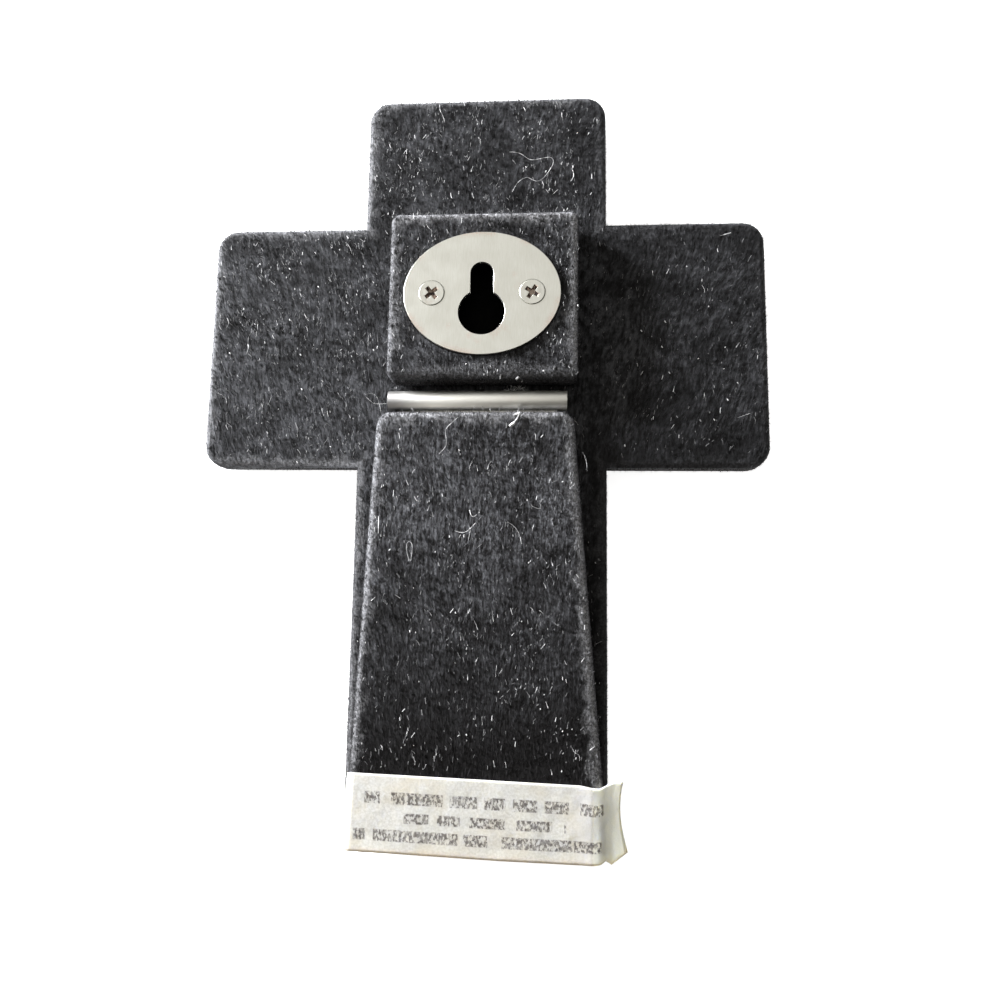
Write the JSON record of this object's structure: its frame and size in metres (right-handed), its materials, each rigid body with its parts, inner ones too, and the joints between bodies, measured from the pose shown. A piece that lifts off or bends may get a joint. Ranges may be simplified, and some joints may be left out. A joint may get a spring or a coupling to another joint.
{
  "type": "scripture wall cross",
  "caption": "Small wall cross lying face down, with a velvet-covered back, a keyhole hanger plate on a block, and a hinged easel leg.",
  "frame": {"origin": "middle of the footprint, on the surface the cross lies on face down", "axes": "+Z out of the cross's back, +Y to its top end, +X to the right as its back is looked at"},
  "size_m": [0.115, 0.155, 0.0164],
  "materials": {
    "velvet": "near-black velvet, short upright pile, dusty with grey lint, worn grey along its edges",
    "steel": "plain dull steel, fine scratches, light tarnish",
    "front_cast": "antique pewter look, dark in the hollows and rubbed bright on the relief",
    "label_paper": "off-white paper, creased, mottled and a little yellowed"
  },
  "bodies": {
    "root": {"front_plate": "front_cast", "back_board": "velvet", "hanger_block": "velvet", "hanger_plate": "steel", "plate_screw_left": "steel", "plate_screw_right": "steel", "hinge_pin": "steel"},
    "leg": {"hinge_barrel": "steel", "easel_leg": "velvet", "paper_label": "label_paper"}
  },
  "joints": [
    {"name": "leg_hinge", "type": "hinge", "parent": "root", "child": "leg", "pos_m": [-0.00055, 0.0105, 0.01105], "axis": [-1, 0, 0], "range_deg": [0, 30]}
  ]
}
